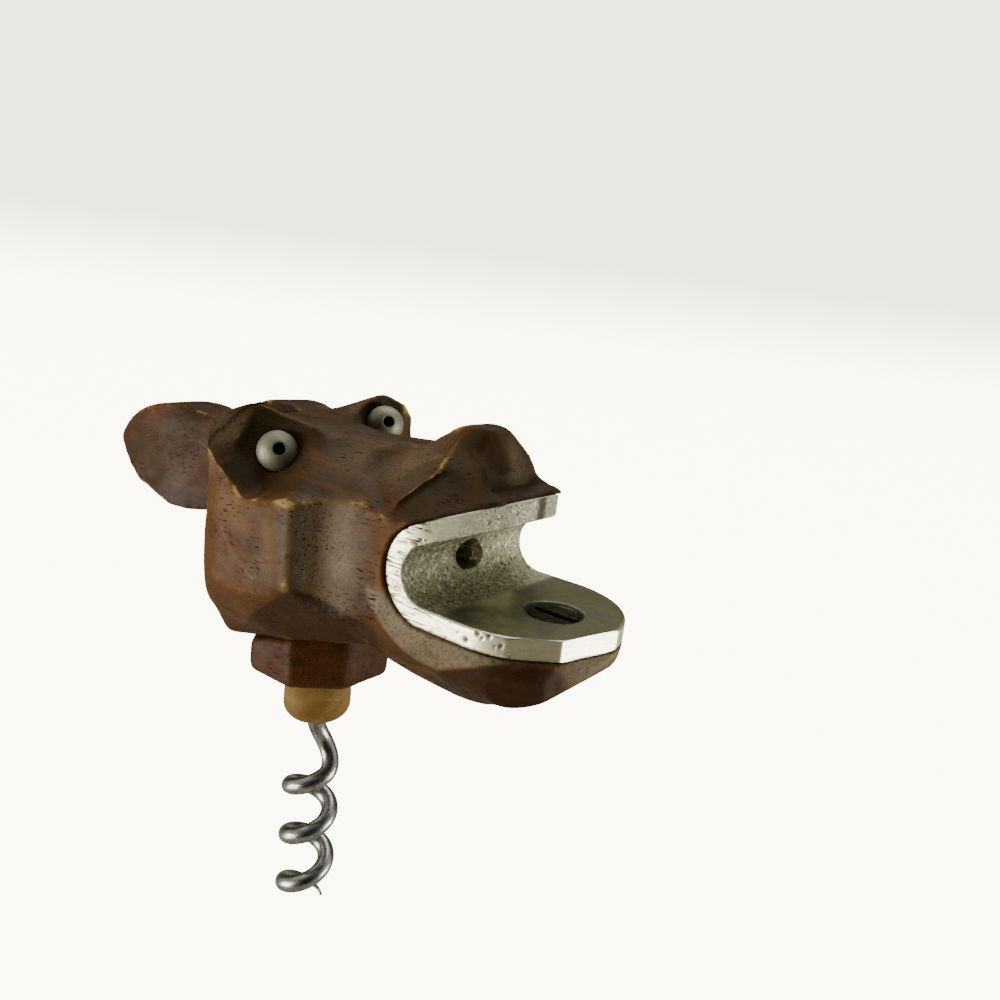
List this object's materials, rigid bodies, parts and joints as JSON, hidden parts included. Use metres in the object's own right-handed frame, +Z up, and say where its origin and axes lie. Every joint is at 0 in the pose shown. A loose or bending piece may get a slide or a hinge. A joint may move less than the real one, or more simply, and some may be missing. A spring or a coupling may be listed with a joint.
{
  "type": "corkscrew",
  "caption": "Hand-held corkscrew: a carved wooden animal's head whose metal-lined open mouth lifts bottle caps, with a steel worm on a round tenon under its neck.",
  "frame": {"origin": "on the worm's axis, at the shoulder where the tenon leaves the underside of the neck", "axes": "+X forward to the animal's snout, +Y to the animal's left, +Z up along the worm's axis towards the crown"},
  "size_m": [0.0768, 0.031, 0.0772],
  "materials": {
    "head_wood": "dark oiled walnut, worn amber on its edges",
    "neck_wood": "dark red-brown oiled wood",
    "tenon_wood": "bare pale wood",
    "worm_steel": "polished wire",
    "liner_metal": "cast, with a ground rim and a dull patina inside",
    "screw_bronze": "dark bronze patina",
    "nail_iron": "rough dark iron",
    "bead_metal": "dull grey-white",
    "pin_iron": "dark iron"
  },
  "bodies": {
    "root": {"head": "head_wood", "neck": "neck_wood", "tenon": "tenon_wood", "worm": "worm_steel", "mouth_liner": "liner_metal", "jaw_screw": "screw_bronze", "throat_nail": "nail_iron", "right_eye_bead": "bead_metal", "left_eye_bead": "bead_metal", "right_eye_pin": "pin_iron", "left_eye_pin": "pin_iron", "right_ear": "head_wood", "left_ear": "head_wood"}
  },
  "joints": []
}
